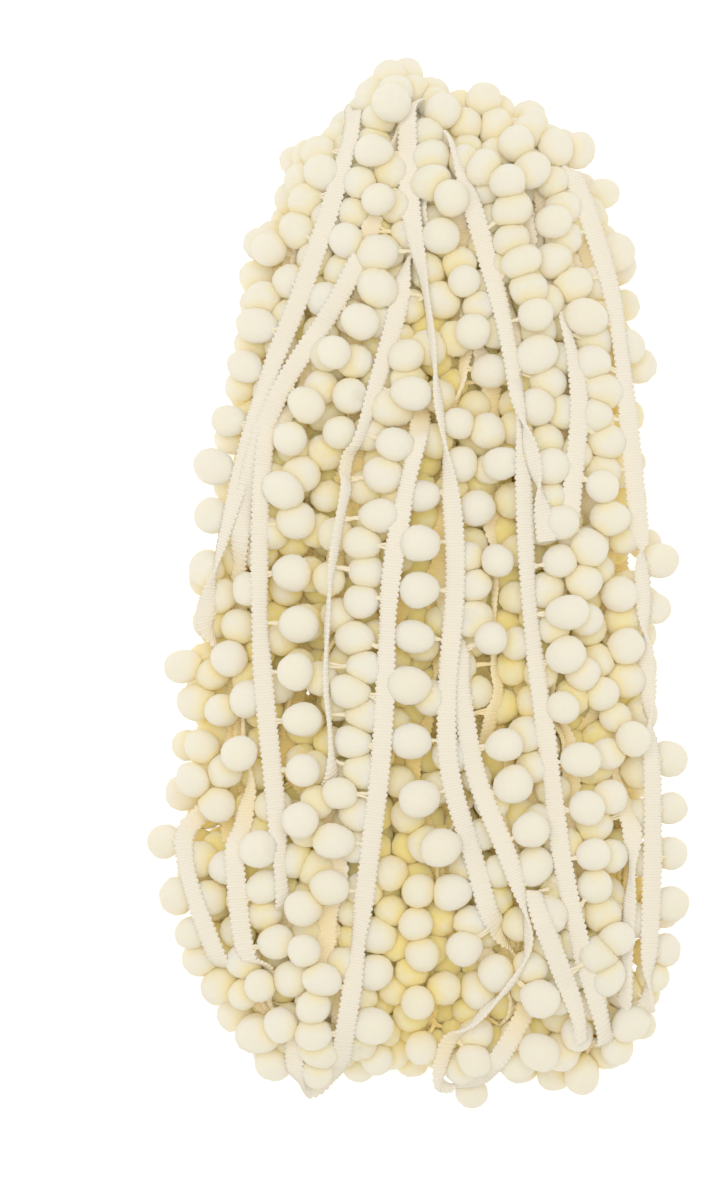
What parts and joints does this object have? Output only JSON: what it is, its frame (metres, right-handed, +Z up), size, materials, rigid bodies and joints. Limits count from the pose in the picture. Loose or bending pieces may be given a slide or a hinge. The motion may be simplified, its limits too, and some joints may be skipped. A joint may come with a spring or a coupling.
{
  "type": "pompom fringe trim hank",
  "caption": "Cream pompom fringe trim wound into a flat-lying hank: felted balls hang by short threads from a ribbed, scallop-edged tape.",
  "frame": {"origin": "centre of the bounding box on the surface that the hank lies on", "axes": "+X across the hank, +Y along it from the loose foot to the gathered head, +Z up from the surface"},
  "size_m": [0.1414, 0.281, 0.0523],
  "materials": {
    "pompoms": "matte dense felted pile",
    "tape": "matte ribbed gimp braid"
  },
  "bodies": {
    "root": {"wound_hank": "pompoms", "outer_end": "tape", "inner_end": "tape"}
  },
  "joints": []
}
